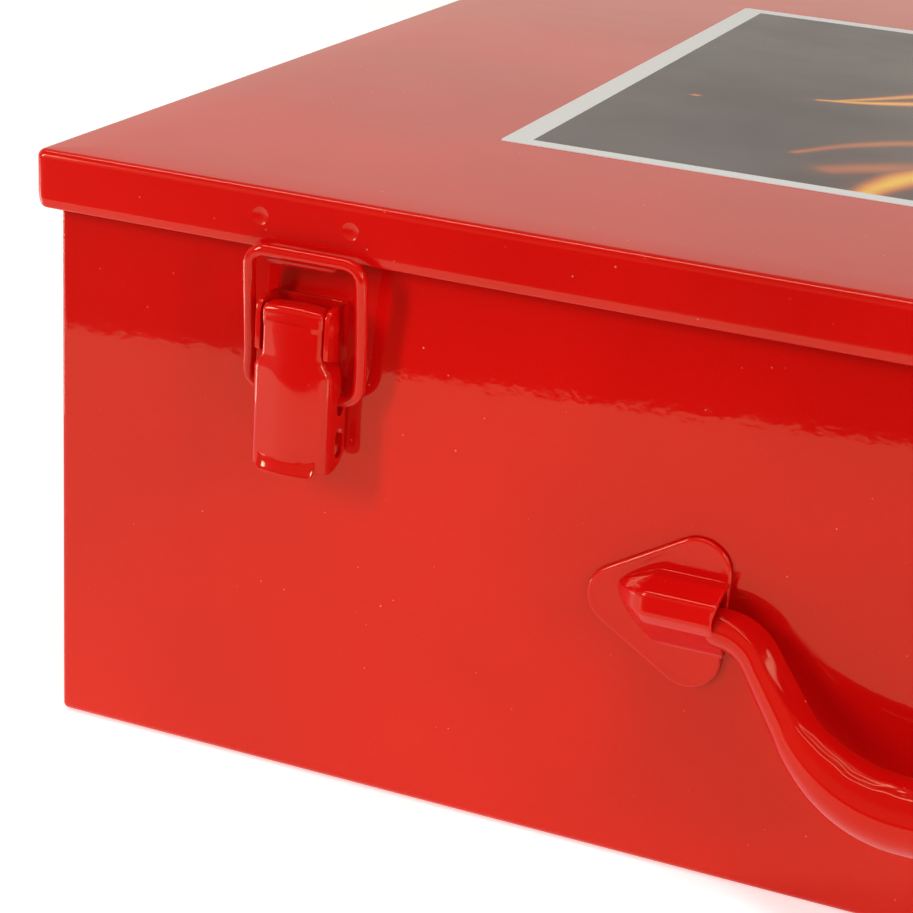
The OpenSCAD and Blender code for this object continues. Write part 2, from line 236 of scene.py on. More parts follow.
def cut(ob, V, F):
    """Cut a closed mesh (mm) out of ob."""
    me = bpy.data.meshes.new("cut")
    me.from_pydata([tuple(float(c) * 0.001 for c in v) for v in V], [], F)
    bm = bmesh.new(); bm.from_mesh(me); bmesh.ops.recalc_face_normals(bm, faces=bm.faces); bm.to_mesh(me); bm.free()
    c = bpy.data.objects.new("cut", me); SC.collection.objects.link(c)
    md = ob.modifiers.new("cut", "BOOLEAN"); md.operation = "DIFFERENCE"; md.object = c; md.solver = "EXACT"
    bake(ob)
    bpy.data.objects.remove(c); bpy.data.meshes.remove(me)

def grid_faces(rows, cols, close_u=False, off=0):
    F = []
    for i in range(rows - 1):
        for j in range(cols if close_u else cols - 1):
            k = (j + 1) % cols
            F.append((off + i * cols + j, off + i * cols + k, off + (i + 1) * cols + k, off + (i + 1) * cols + j))
    return F

def prism_x(outline, x0, x1):
    """Closed (y, z) outline extruded along x."""
    n = len(outline)
    V = [(x0, y, z) for y, z in outline] + [(x1, y, z) for y, z in outline]
    F = [tuple(range(n)), tuple(range(2 * n - 1, n - 1, -1))]
    F += [(i, (i + 1) % n, n + (i + 1) % n, n + i) for i in range(n)]
    return V, F

def joinm(*parts):
    V, F = [], []
    for v, f in parts:
        o = len(V); V += list(v); F += [tuple(i + o for i in q) for q in f]
    return V, F

def arc(cx, cy, r, a0, a1, n):
    return [(cx + r * math.cos(math.radians(a0 + (a1 - a0) * k / n)), cy + r * math.sin(math.radians(a0 + (a1 - a0) * k / n))) for k in range(n + 1)]

def rounded(pts, rad, n=5):
    """Closed polygon with rounded corners; rad is one radius or one per corner."""
    out = []
    m = len(pts)
    for i in range(m):
        r = rad[i] if isinstance(rad, (list, tuple)) else rad
        p = np.array(pts[i], float); a = np.array(pts[i - 1], float); b = np.array(pts[(i + 1) % m], float)
        if r <= 0:
            out.append(tuple(p)); continue
        u = (a - p) / np.linalg.norm(a - p); v = (b - p) / np.linalg.norm(b - p)
        half = math.acos(max(-1, min(1, float(u @ v)))) / 2
        if half > math.radians(89.5):
            out.append(tuple(p)); continue
        d = min(r / math.tan(half), 0.49 * np.linalg.norm(a - p), 0.49 * np.linalg.norm(b - p))
        rr = d * math.tan(half)
        c = p + (u + v) / np.linalg.norm(u + v) * (rr / math.sin(half))
        s, e = p + u * d - c, p + v * d - c
        a0 = math.atan2(s[1], s[0]); a1 = math.atan2(e[1], e[0])
        da = (a1 - a0 + math.pi) % (2 * math.pi) - math.pi
        for k in range(n + 1):
            t = a0 + da * k / n
            out.append((c[0] + rr * math.cos(t), c[1] + rr * math.sin(t)))
    return out

def tube(path, radius, n=20, caps=True, normal=(0, 1, 0), sect=None):
    """Round bar along a path in mm. radius: number or list. sect(i, phi) scales the radius."""
    P = [np.array(p, float) for p in path]
    V = []
    m = len(P)
    R = radius if isinstance(radius, (list, tuple, np.ndarray)) else [radius] * m
    nrm = np.array(normal, float)
    for i in range(m):
        t = P[min(i + 1, m - 1)] - P[max(i - 1, 0)]
        t = t / np.linalg.norm(t)
        b = np.cross(t, nrm); b /= np.linalg.norm(b)
        c = np.cross(b, t)
        for k in range(n):
            a = 2 * math.pi * k / n
            r = R[i] * (sect(i, a) if sect else 1.0)
            V.append(P[i] + r * (math.cos(a) * b + math.sin(a) * c))
    F = grid_faces(m, n, True)
    if caps:
        F += [tuple(range(n)), tuple(range((m - 1) * n, m * n))]
    return V, F

def lathe(profile, axis_point, axis="x", n=40):
    """Closed-ended lathe. profile: (distance along axis, radius) from end to end."""
    V = []; F = []
    for (s, r) in profile:
        for k in range(n):
            a = 2 * math.pi * k / n
            if axis == "x":
                V.append((axis_point[0] + s, axis_point[1] + r * math.cos(a), axis_point[2] + r * math.sin(a)))
            elif axis == "y":
                V.append((axis_point[0] + r * math.cos(a), axis_point[1] + s, axis_point[2] + r * math.sin(a)))
            else:
                V.append((axis_point[0] + r * math.cos(a), axis_point[1] + r * math.sin(a), axis_point[2] + s))
    F = grid_faces(len(profile), n, True)
    F += [tuple(range(n)), tuple(range((len(profile) - 1) * n, len(profile) * n))]
    return V, F

def dome_prof(r, h, base, n=7):
    """Profile points of a domed head standing at 'base', going outward to its tip."""
    R = (r * r + h * h) / (2 * h)
    a0 = math.asin(min(1.0, r / R))
    return [(base + R * math.cos(a0 * (1 - k / n)) - (R - h), max(0.02, R * math.sin(a0 * (1 - k / n)))) for k in range(n + 1)]

# perimeter of a rectangle: list of (corner index, kind, parameter) turned into points for any inset and corner radius
EDGE_D = [0.0, 0.5, 1.1, 1.9, 3.0, 4.5, 7.0]
def perimeter(w, d, rc, inset, arcn=7, edge_d=EDGE_D):
    """Points (x, y, side, dist) round a rectangle of half sizes w, d. dist is the distance from the nearest square corner."""
    w2, d2 = w - inset, d - inset
    r = max(rc - inset, 0.12) if rc > 0 else 0.12
    pts = []
    corners = [(1, -1, -90, "f", "r"), (1, 1, 0, "r", "b"), (-1, 1, 90, "b", "l"), (-1, -1, 180, "l", "f")]
    for sx, sy, a0, s0, s1 in corners:
        cx, cy = sx * (w2 - r), sy * (d2 - r)
        # incoming edge points
        for q in reversed(edge_d[1:]):
            if s0 in "fb":
                pts.append((sx * min(w - rc - q, w2 - r), sy * d2, s0, rc + q))
            else:
                pts.append((sx * w2, sy * min(d - rc - q, d2 - r), s0, rc + q))
        for k in range(arcn + 1):
            a = math.radians(a0 + 90.0 * k / arcn)
            pts.append((cx + r * math.cos(a), cy + r * math.sin(a), s0 if k <= arcn // 2 else s1, rc * (1 - k / arcn if k <= arcn // 2 else k / arcn)))
        for q in edge_d[1:]:
            if s1 in "fb":
                pts.append((sx * min(w - rc - q, w2 - r), sy * d2, s1, rc + q))
            else:
                pts.append((sx * w2, sy * min(d - rc - q, d2 - r), s1, rc + q))
    return pts

# ------------------------------------------------------------------ tray
def build_tray():
    rows = []
    def row(inset, z, rc=1.3):
        rows.append([(x, y, z) for x, y, s, q in perimeter(HW, HD, rc, inset)])
    prof = [(6.0, 0.0)] + [(2 - 2 * math.sin(math.radians(a)), 2 - 2 * math.cos(math.radians(a))) for a in range(0, 91, 15)]
    prof += [(0, 8), (0, 40), (0, 80), (0, 120), (0, RIM - 9), (0, RIM - 1)]
    prof += [(1 - math.cos(math.radians(a)), RIM - 1 + math.sin(math.radians(a))) for a in range(20, 181, 20)]
    prof += [(2, RIM - 8.4), (1.85, RIM - 8.9), (1.4, RIM - 9.1), (1.0, RIM - 9.2), (1.0, 100), (1.0, 50), (1.0, 3)]
    prof += [(2 - math.cos(math.radians(a)), 2 - math.sin(math.radians(a))) for a in range(0, 91, 22)] + [(6.0, 1.0)]
    for i, z in prof:
        row(i, z)
    V = [p for r in rows for p in r]; n = len(rows[0])
    F = grid_faces(len(rows), n, True)
    F += [tuple(range(n)), tuple(range((len(rows) - 1) * n, len(rows) * n))]
    return make("tray_shell", V, F, M_PAINT, "case", ["tray"], angle=50)
tray = build_tray()

# ------------------------------------------------------------------ lid
def build_lid():
    rc = 2.6
    ed = [0.0, 0.35, 0.7, 1.2, 1.9, 2.9, 4.2, 7.0, 20.0]
    def bottom(side, q):
        """z of the flange's lower edge at distance q from the corner"""
        if side in "lr":
            return FLZ + 1.5
        # the front and back flanges have a small corner radius at their ends
        a = max(0.0, min(1.0, (q - 1.0) / 2.2))
        return FLZ + 1.5 * (1 - math.sqrt(max(0.0, 1 - (1 - a) ** 2))) * 0.9
    rows = []
    def row(inset, zf, r=rc):
        pts = perimeter(LW, LD, r, inset, 14, ed)
        out = []
        for j, (x, y, s, q) in enumerate(pts):
            z = zf(s, q)
            # open corner seam between the folded flanges, and the side flange set in a little
            if inset < 0.7 and z < TOP - 2.6 and abs(x) > LW - 3.0 and abs(y) > LD - 3.0:
                ang = math.degrees(math.atan2(LD - r - abs(y), abs(x) - (LW - r)))        # -90 at the front face, 0 at the side face
                d = 0.42 if -42 < ang < -30 else (0.12 if ang >= -30 else 0.0)
                if abs(x) > LW - r and abs(y) > LD - r:
                    cx_, cy_ = math.copysign(LW - r, x), math.copysign(LD - r, y)
                    h_ = math.hypot(x - cx_, y - cy_)
                    x -= (x - cx_) / h_ * d; y -= (y - cy_) / h_ * d
            out.append((x, y, z))
        rows.append(out)
    k = lambda z: (lambda s, q: z)
    row(14.0, k(TOP))
    for a in range(0, 91, 10):
        t = math.radians(a)
        row(2.15 - 2.15 * math.sin(t), k(TOP - 2.15 + 2.15 * math.cos(t)))
    row(0.0, k(TOP - 4.5))
    for f in (0.5, 0.9):
        row(0.0, lambda s, q, f=f: (TOP - 5.0) + f * (bottom(s, q) + 2.6 - (TOP - 5.0)))
    # lower edge, turned in a little over the last 2 mm and rounded
    for i_, dz in ((0.0, 2.30), (0.03, 2.05), (0.36, 0.70), (0.44, 0.42), (0.60, 0.14), (0.80, 0.0), (0.98, 0.06), (1.12, 0.26), (1.16, 0.60)):
        row(i_, lambda s, q, dz=dz: bottom(s, q) + dz)
    row(1.0, k(FLZ + 6))
    row(1.0, k(TOP - 3.0))
    for a in range(0, 91, 30):
        t = math.radians(a)
        row(2.6 - 1.55 * math.cos(t), k(TOP - 2.55 + 1.55 * math.sin(t)))
    row(14.0, k(TOP - 1.0))
    V = [list(p) for r in rows for p in r]; n = len(rows[0])
    F = grid_faces(len(rows), n, True)
    F += [tuple(range(n)), tuple(range((len(rows) - 1) * n, len(rows) * n))]
    return make("lid_shell", V, F, M_LID, "lid", ["lid"], angle=50)
lid = build_lid()

def bowl(x, y, z, r, depth, n=28):
    """A closed cap-shaped cutter that leaves a shallow round dish of radius r in a face looking along -y."""
    R = (r * r + depth * depth) / (2 * depth)
    V = []; F = []
    m = 8
    a1 = math.asin(r / R)
    for i in range(1, m + 1):
        t = a1 * i / m
        for k in range(n):
            a = 2 * math.pi * k / n
            V.append((x + R * math.sin(t) * math.cos(a), y + depth - (R - R * math.cos(t)), z + R * math.sin(t) * math.sin(a)))
    for k in range(n):
        a = 2 * math.pi * k / n
        V.append((x + r * 1.02 * math.cos(a), y - 2.0, z + r * 1.02 * math.sin(a)))
    F = grid_faces(m + 1, n, True) + [tuple(range(n)), tuple(range(m * n, (m + 1) * n))]
    return V, F

DISH_R, DISH_Z = 2.1, TOP - 6.5
dishes = [sx * (LX + dx) for sx in (-1, 1) for dx in (12.0, -10.5)]
for dx in dishes:
    V, F = bowl(dx, -LD, DISH_Z, DISH_R, 0.36)
    cut(lid, V, F)
# the rim of each dish is a crease, so the flat flange round it stays flat
dp = np.empty(3 * len(lid.data.vertices)); lid.data.vertices.foreach_get("co", dp)
dp = dp.reshape(-1, 3) * 1000.0
on_rim = np.zeros(len(dp), bool)
for dx in dishes:
    rr = np.hypot(dp[:, 0] - dx, dp[:, 2] - DISH_Z)
    on_rim |= (abs(dp[:, 1] + LD) < 0.02) & (rr > 0.97 * DISH_R) & (rr < 1.03 * DISH_R)
for e in lid.data.edges:
    if on_rim[e.vertices[0]] and on_rim[e.vertices[1]]:
        e.use_edge_sharp = True

# ------------------------------------------------------------------ printed sheet on the lid
P_LO, P_HI = lo_hi("label")
BL, BF, BB = 7.1, 5.3, 6.8            # white border: sides, front, back
def build_label():
    x0, x1, y0, y1 = P_LO[0], P_HI[0], P_LO[1], P_HI[1]
    zt, zb = P_HI[2], P_LO[2] - 0.04
    px0, px1, py0, py1 = x0 + BL, x1 - BL, y0 + BF, y1 - BB
    nx, ny = 300, 230
    xs = np.linspace(px0, px1, nx + 1); ys = np.linspace(py0, py1, ny + 1)
    V = []; F = []; MI = []
    for y in ys:
        for x in xs:
            V.append((x, y, zt))
    w = nx + 1
    for j in range(ny):
        for i in range(nx):
            a = j * w + i
            F.append((a, a + 1, a + w + 1, a + w)); MI.append(1)
    # border: inner loop vertices to an outer loop with tiny rounded corners
    loop = [i for i in range(nx + 1)] + [j * w + nx for j in range(1, ny + 1)] + [ny * w + i for i in range(nx - 1, -1, -1)] + [j * w for j in range(ny - 1, 0, -1)]
    outer = []
    for k in loop:
        x, y, _ = V[k]
        fx = (x - px0) / (px1 - px0); fy = (y - py0) / (py1 - py0)
        X = x0 + fx * (x1 - x0); Y = y0 + fy * (y1 - y0)
        outer.append([X, Y])
    # corner softening (0.8 mm)
    for o in outer:
        for cx, cy in ((x0, y0), (x1, y0), (x1, y1), (x0, y1)):
            if abs(o[0] - cx) < 1e-6 and abs(o[1] - cy) < 1e-6:
                o[0] += 0.25 * (1 if cx == x0 else -1); o[1] += 0.25 * (1 if cy == y0 else -1)
    n0 = len(V); L = len(loop)
    for s, z in ((0.0, zt), ):
        V += [(o[0], o[1], z) for o in outer]
    for i in range(L):
        k = (i + 1) % L
        F.append((loop[i], n0 + i, n0 + k, loop[k])); MI.append(0)
    n1 = len(V)
    V += [(o[0], o[1], zb) for o in outer]
    for i in range(L):
        k = (i + 1) % L
        F.append((n0 + i, n1 + i, n1 + k, n0 + k)); MI.append(0)
    F.append(tuple(range(n1, n1 + L))); MI.append(0)
    me = bpy.data.meshes.new("label_sheet")
    me.from_pydata([(x * 0.001, y * 0.001, z * 0.001) for x, y, z in V], [], F)
    bm = bmesh.new(); bm.from_mesh(me); bmesh.ops.recalc_face_normals(bm, faces=bm.faces); bm.to_mesh(me); bm.free()
    me.materials.append(M_BORDER); me.materials.append(M_PRINT)
    me.polygons.foreach_set("material_index", MI)
    ob = bpy.data.objects.new("label_sheet", me); SC.collection.objects.link(ob)
    # painted picture: generic flames on a dark ground, worked out point by point
    co = np.array(V)[:, :2]
    X, Y = co[:, 0], co[:, 1]
    rng = np.random.default_rng(12)
    def wob(x, y, s, seed):
        r = np.random.default_rng(seed); out = np.zeros_like(x)
        for k in range(9):
            f = s * (0.5 + 1.5 * r.random()); a = r.random() * 6.283; p = r.random() * 6.283
            out += np.sin((x * math.cos(a) + y * math.sin(a)) * f + p) / 9.0
        return out
    ground = np.zeros((len(X), 3))
    t = np.clip((X - px0) / 120.0, 0, 1)
    ground[:, 0] = 0.040 + 0.016 * t + 0.004 * wob(X, Y, 0.05, 1)
    ground[:, 1] = 0.012 + 0.006 * t + 0.004 * wob(X, Y, 0.05, 2)
    ground[:, 2] = 0.024 - 0.004 * t + 0.004 * wob(X, Y, 0.05, 3)
    blue = np.exp(-(((X + 112) / 22.0) ** 2 + ((Y + 88) / 30.0) ** 2)) * 0.5
    ground[:, 2] += 0.020 * blue; ground[:, 1] += 0.006 * blue
    heat = np.zeros_like(X); core = np.zeros_like(X)
    def tongue(pts, w0, w1, gain=1.0, soft=1.0):
        """a streak along a bent line, w0 wide at its start and w1 at its end"""
        P = np.array(pts, float)
        best = np.full(len(X), 1e9); along = np.zeros(len(X))
        seg = np.linalg.norm(np.diff(P, axis=0), axis=1); tot = seg.sum(); acc = 0
        for a, b, s in zip(P[:-1], P[1:], seg):
            u = np.clip(((X - a[0]) * (b[0] - a[0]) + (Y - a[1]) * (b[1] - a[1])) / s ** 2, 0, 1)
            d = np.hypot(X - a[0] - u * (b[0] - a[0]), Y - a[1] - u * (b[1] - a[1]))
            m = d < best
            best[m] = d[m]; along[m] = (acc + u[m] * s) / tot
            acc += s
        w = w0 + (w1 - w0) * along
        v = np.exp(-(best / (w * soft)) ** 2) * gain
        e = 1 - np.clip(along, 0, 1) ** 6 * 0.6
        return v * e
    def spline(p, n=24):
        p = np.array(p, float); out = []
        q = np.vstack([2 * p[0] - p[1], p, 2 * p[-1] - p[-2]])
        for i in range(1, len(q) - 2):
            for k in range(n):
                t = k / n
                out.append(0.5 * ((2 * q[i]) + (-q[i - 1] + q[i + 1]) * t + (2 * q[i - 1] - 5 * q[i] + 4 * q[i + 1] - q[i + 2]) * t * t + (-q[i - 1] + 3 * q[i] - 3 * q[i + 1] + q[i + 2]) * t ** 3))
        out.append(p[-1]); return out
    streaks = [
        ([(-108, -17), (-97, -12), (-84, -4), (-60, 14), (-30, 30), (10, 34), (60, 24)], 1.0, 13.0, 0.95),
        ([(-104, -15), (-94, -4), (-85, 8), (-66, 30), (-40, 46), (0, 60)], 0.8, 8.0, 0.85),
        ([(-99, -88), (-88, -71), (-73, -56), (-50, -44), (-10, -34), (50, -30)], 1.6, 11.0, 0.42),
        ([(-86, -101), (-80, -95), (-72, -88), (-62, -80)], 5.5, 7.5, 0.40),
        ([(-74, -124), (-71, -110), (-64, -92), (-48, -76), (-20, -66), (20, -60)], 3.4, 14.0, 1.0),
        ([(-58, -124), (-50, -108), (-30, -96), (30, -90)], 3.0, 15.0, 0.85),
        ([(-40, 70), (-10, 62), (30, 68), (80, 48), (120, 18)], 0.8, 10.0, 0.7),
        ([(20, 95), (50, 78), (90, 66), (130, 28)], 0.8, 9.0, 0.6),
        ([(-20, -110), (20, -96), (70, -84), (130, -40)], 3.0, 14.0, 0.9),
        ([(30, -30), (70, -10), (110, -20), (150, -60)], 2.0, 12.0, 0.8),
        ([(60, -112), (90, -70), (120, -50), (140, 0)], 2.0, 10.0, 0.7),
    ]
    for pts, w0, w1, g in streaks:
        pts = [(a + 0.5 * math.sin(b * 0.4), b) for a, b in pts]
        v = tongue(spline(pts, 8), w0, w1, g)
        glow = tongue(spline(pts, 8), w0 * 3.0 + 1.5, w1 * 2.4 + 2.0, g * 0.16)
        heat = np.maximum(heat, v); core = np.maximum(core, glow)
    # sparks
    for sx, sy, r, g in [(-140.3, -35.4, 1.0, 0.9)] + [(float(a), float(b), float(c), 0.7) for a, b, c in zip(rng.uniform(-60, 150, 26), rng.uniform(-110, 112, 26), rng.uniform(0.7, 1.3, 26))]:
        heat = np.maximum(heat, np.exp(-(((X - sx) / (r * 1.5)) ** 2 + ((Y - sy) / r) ** 2)) * g)
    mott = 0.95 + 0.22 * wob(X, Y, 0.10, 5) + 0.05 * wob(X, Y, 0.5, 6)
    heat = np.clip(heat * np.clip(mott, 0.35, 1.2), 0, 1)
    stops = np.array([0.0, 0.15, 0.35, 0.6, 0.85, 1.0])
    cr = np.interp(heat, stops, [0.0, 0.07, 0.38, 0.74, 0.90, 0.94])
    cg = np.interp(heat, stops, [0.0, 0.010, 0.075, 0.22, 0.40, 0.55])
    cb = np.interp(heat, stops, [0.0, 0.001, 0.006, 0.010, 0.016, 0.04])
    col = np.ones((len(X), 4))
    keep = (1 - np.clip(heat * 1.4, 0, 1))[:, None]
    col[:, :3] = ground * keep + np.stack([cr, cg, cb], 1) + core[:, None] * np.array([0.14, 0.035, 0.006])
    at = me.color_attributes.new("ink", "FLOAT_COLOR", "POINT")
    at.data.foreach_set("color", np.clip(col, 0, 1).astype(np.float32).ravel())
    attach(ob, "lid"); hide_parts("label")
    return ob
label = build_label()

# ------------------------------------------------------------------ latches
def latch(side, s):
    cx = s * LX
    FYl = FY
    def pt(x, Yd, zr):                       # x from the latch centre, Yd depth from the wall (negative outward), z from the lever pivot
        return (cx + x, FYl + Yd, LPZ + zr)
    # ---- base: one bent strip, back plate and two cheeks
    side_o = rounded([(0.0, -13.9), (0.0, 4.3), (-7.8 - 3.0, 4.3), (-10.8, -7.6), (-4.4, -9.4), (-1.2, -13.9)], [0, 0, 3.0, 1.2, 2.0, 0], 7)
    back = [(-8.5, 0), (8.5, 0), (8.5, -1.2), (-8.5, -1.2)]
    parts = []
    V = []; 
    pl = [(x, y) for x, y in rounded([(-8.5, 0.0), (8.5, 0.0), (8.5, -1.6), (-8.5, -1.6)], 0.0)]
    base_v = [pt(x, y, z) for z in (-13.9, 4.3) for x, y in [(-9.1, 0), (9.1, 0), (9.1, -1.2), (-9.1, -1.2)]]
    base_f = [(0, 1, 2, 3), (7, 6, 5, 4), (0, 4, 5, 1), (1, 5, 6, 2), (2, 6, 7, 3), (3, 7, 4, 0)]
    base = make("latch_base_plate_" + side, base_v, base_f, M_HARD, "case", ["latch_base_" + side])
    for i in (-1, 1):
        V, F = prism_x([(FYl + y, LPZ + z) for y, z in side_o], cx + i * 8.1, cx + i * 9.2)
        me = bpy.data.meshes.new("cheek"); me.from_pydata([tuple(0.001 * c for c in v) for v in V], [], F)
        bm = bmesh.new(); bm.from_mesh(me); bmesh.ops.recalc_face_normals(bm, faces=bm.faces); bm.to_mesh(me); bm.free()
        c = bpy.data.objects.new("cheek", me); SC.collection.objects.link(c)
        md = base.modifiers.new("u", "BOOLEAN"); md.operation = "UNION"; md.object = c; md.solver = "EXACT"
        bake(base)
        bpy.data.objects.remove(c); bpy.data.meshes.remove(me)
    bevel(base, 0.28, 3); bake(base, 40)
    # ---- pin: a shaft with a domed head on each cheek
    prof = dome_prof(2.5, 0.9, 9.2)
    left = [(-s0, r) for s0, r in reversed(prof)]
    body = [(-9.15, 2.4), (-9.1, 1.5), (9.1, 1.5), (9.15, 2.4)]
    V, F = lathe(left + body + prof, (cx, LPY, LPZ))
    make("latch_pin_" + side, V, F, M_HARD, "case", ["latch_pin_" + side])
    # ---- lever: a pressed channel, narrow neck, wide grip
    zst = [0.0, -1.5, -3.5, -5.5, -6.5, -7.2, -7.9, -8.6, -9.3, -10.0, -10.7, -11.4, -12.1, -12.9, -14.0, -16, -19, -22, -25, -28, -31, -32.5, -33.3, -34.1, -34.7, -35.2, -35.6]
    def width(z):
        t = min(1.0, max(0.0, (-z - 7.6) / 4.6)); t = t * t * (3 - 2 * t)
        return 7.8 + 2.2 * t
    def yback(z):
        pts = [(0, -4.2), (-7, -4.0), (-12.3, -3.2), (-21.5, -0.9), (-32.5, -0.9), (-34.7, -3.5), (-35.6, -7.0)]
        return float(np.interp(-z, [-p[0] for p in pts], [p[1] for p in pts]))
    rows = []
    for z in zst:
        w = width(z); yb = yback(z); yf = -11.15
        t = min(1.0, max(0.0, (-z - 7.6) / 4.6)); r = 1.9 + 1.0 * t
        cr = 0.65 + 0.35 * min(1.0, -z / 14.0)    # crowned web
        # the corners drop back a little where the lower edge turns in
        wall = 1.1
        out = []
        for k in range(5):
            out.append((-w, yb + (yf + r - yb) * k / 4.0))
        out += [(-w + r - r * math.cos(a), yf + r - r * math.sin(a)) for a in [math.radians(v) for v in (15, 30, 45, 60, 75, 90)]]
        xs = np.linspace(-w + r, w - r, 13)[1:-1]
        out += [(x, yf - cr * (1 - (x / (w - r)) ** 2)) for x in xs]
        out += [(-x, y) for x, y in reversed(out[:11])]
        ri = max(0.3, r - wall); wi = w - wall; yi = yf + wall
        inn = []
        for k in range(5):
            inn.append((-wi, yb + (yi + ri - yb) * k / 4.0))
        inn += [(-wi + ri - ri * math.cos(a), yi + ri - ri * math.sin(a)) for a in [math.radians(v) for v in (15, 30, 45, 60, 75, 90)]]
        xi = np.linspace(-wi + ri, wi - ri, 13)[1:-1]
        inn += [(x, yi - cr * (1 - (x / (wi - ri)) ** 2)) for x in xi]
        inn += [(-x, y) for x, y in reversed(inn[:11])]
        ring = out + list(reversed(inn))
        rows.append([pt(x, y, z) for x, y in ring])
    n = len(rows[0])
    V = [p for r in rows for p in r]
    F = grid_faces(len(rows), n, True)
    h = n // 2
    for base_i in (0, (len(rows) - 1) * n):                 # end strips between the outer and inner line
        for k in range(h - 1):
            F.append((base_i + k, base_i + k + 1, base_i + n - 2 - k, base_i + n - 1 - k))
    lever = make("lever_channel_" + side, V, F, M_HARD, "lever_" + side, ["latch_lever_" + side])
    def union(V, F):
        me = bpy.data.meshes.new("u"); me.from_pydata([tuple(0.001 * float(c) for c in v) for v in V], [], F)
        bm = bmesh.new(); bm.from_mesh(me); bmesh.ops.recalc_face_normals(bm, faces=bm.faces); bm.to_mesh(me); bm.free()
        c = bpy.data.objects.new("u", me); SC.collection.objects.link(c)
        md = lever.modifiers.new("u", "BOOLEAN"); md.operation = "UNION"; md.object = c; md.solver = "EXACT"
        bake(lever)
        bpy.data.objects.remove(c); bpy.data.meshes.remove(me)
    # curl round the pin
    Rc, w0, re = 3.7, 7.8, 1.5
    prof = [(-w0, 1.6)] + [(-w0, 2.0)] + [(-w0 + re - re * math.cos(a), Rc - re + re * math.sin(a)) for a in [math.radians(v) for v in (0, 15, 30, 45, 60, 75, 90)]]
    prof += [(x, Rc + 0.35 * (1 - (x / 6.3) ** 2)) for x in (-4, -2, 0, 2, 4)] + [(-x, r) for x, r in reversed(prof)]
    m = 56; V = []
    ring = prof + [(w0 - 0.2, 1.58), (-w0 + 0.2, 1.58)]
    def boxy(a):
        """the strip is folded over the pin with a flat top: rounded-square section above the pin, round below"""
        c_, s_ = math.cos(a), math.sin(a)
        if s_ <= 0:
            return 1.0
        cc = 1.5 if c_ < 0 else 2.6
        h = 3.7; t = min(h / max(abs(c_), 1e-9), h / max(s_, 1e-9))
        ex, ez = abs(c_) * t, s_ * t
        if ex > h - cc and ez > h - cc:
            k_ = h - cc; b_ = k_ * (abs(c_) + s_); t = b_ + math.sqrt(max(0.0, b_ * b_ - 2 * k_ * k_ + cc * cc))
        return t / h
    m = 96
    for k in range(m):
        a = 2 * math.pi * k / m
        for x, r in ring:
            q = r * boxy(a) if r > 1.7 else r
            V.append(pt(x, LPY - FYl + 0.35 * (1 if r > 1.7 and math.cos(a) < 0 else 0) * abs(math.cos(a)) + q * math.cos(a), q * math.sin(a)))
    nr = len(ring); F = []
    for k in range(m):
        q = (k + 1) % m
        for i in range(nr):
            j = (i + 1) % nr
            F.append((k * nr + i, k * nr + j, q * nr + j, q * nr + i))
    union(V, F)
    # finger lip: a tongue of the web bent outward at the lower end
    prof_o = [(-11.0, -32.4), (-11.75, -33.1), (-11.95, -33.9), (-12.2, -34.7), (-12.6, -35.4), (-12.9, -36.3), (-12.75, -36.75), (-12.3, -36.9), (-11.9, -36.7), (-11.5, -35.4), (-11.1, -33.9), (-10.8, -32.3), (-10.6, -31.0)]
    xs = np.linspace(-7.4, 7.4, 21)
    V = []
    for x in xs:
        u = abs(x) / 7.4
        lift = 0.35 * u ** 2.2                      # arc where the tongue leaves the web
        for y, z in prof_o:
            low = max(0.0, (-z - 31.8) / 5.0)
            endc = 0.9 * max(0.0, (u - 0.86) / 0.14) ** 2 * low
            V.append(pt(x * (1 - 0.05 * low), y + 0.45 - 0.75 * (1 - u * u), z + endc + (lift if -z < 33.5 else 0)))
    k = len(prof_o)
    F = grid_faces(len(xs), k, True) + [tuple(range(k)), tuple(range((len(xs) - 1) * k, len(xs) * k))]
    union(V, F)
    # slot and bail hole in both flanges
    def obround(y, z0, z1, r, n=14):
        o = [(y + r * math.cos(a), z1 + r * math.sin(a)) for a in np.linspace(0, math.pi, n)] + [(y + r * math.cos(a), z0 + r * math.sin(a)) for a in np.linspace(math.pi, 2 * math.pi, n)]
        return o
    for z0, z1, r in ((90.5, 93.7, 2.0), (100.6, 102.8, 1.58)):
        o = obround(FYl - 4.1, z0, z1, r)
        V, F = prism_x(o, cx - 12, cx + 12)
        cut(lever, V, F)
    bevel(lever, 0.22, 2, 38); bake(lever, 42)
    # ---- bail: bent wire
    Q = np.array([0, LQY - FYl, LQZ - LPZ]); tilt = math.radians(5.76); ln = 34.37
    dr = np.array([0, -math.sin(tilt), math.cos(tilt)])
    hw, rc = 14.1, 4.2
    path2 = [(-8.6, 0.0), (-9.2, 0.0), (-hw + rc, 0.0)]
    path2 += arc(-hw + rc, rc, rc, -90, -180, 9)[1:]
    path2 += [(-hw, v) for v in np.linspace(rc, ln - rc, 8)[1:-1]]
    path2 += arc(-hw + rc, ln - rc, rc, 180, 90, 9)
    path2 += [(x, ln) for x in np.linspace(-hw + rc, 0, 5)[1:]]
    path2 += [(-x, v) for x, v in reversed(path2[:-1])]
    P = []
    play = 1.0 if s < 0 else -0.6            # the loose loop sits a little to one side
    for x, v in path2:
        q = Q + dr * v
        P.append(pt(x + play * min(1.0, v / 12.0 + 0.25), q[1], q[2] - 0.3 * min(1.0, v / 12.0)))
    nn = (0, math.cos(tilt), math.sin(tilt))
    V, F = tube(P, [1.2, 1.5] + [1.5] * (len(P) - 4) + [1.5, 1.2], 24, True, nn)
    make("bail_wire_" + side, V, F, M_HARD, "bail_" + side, ["latch_bail_" + side])
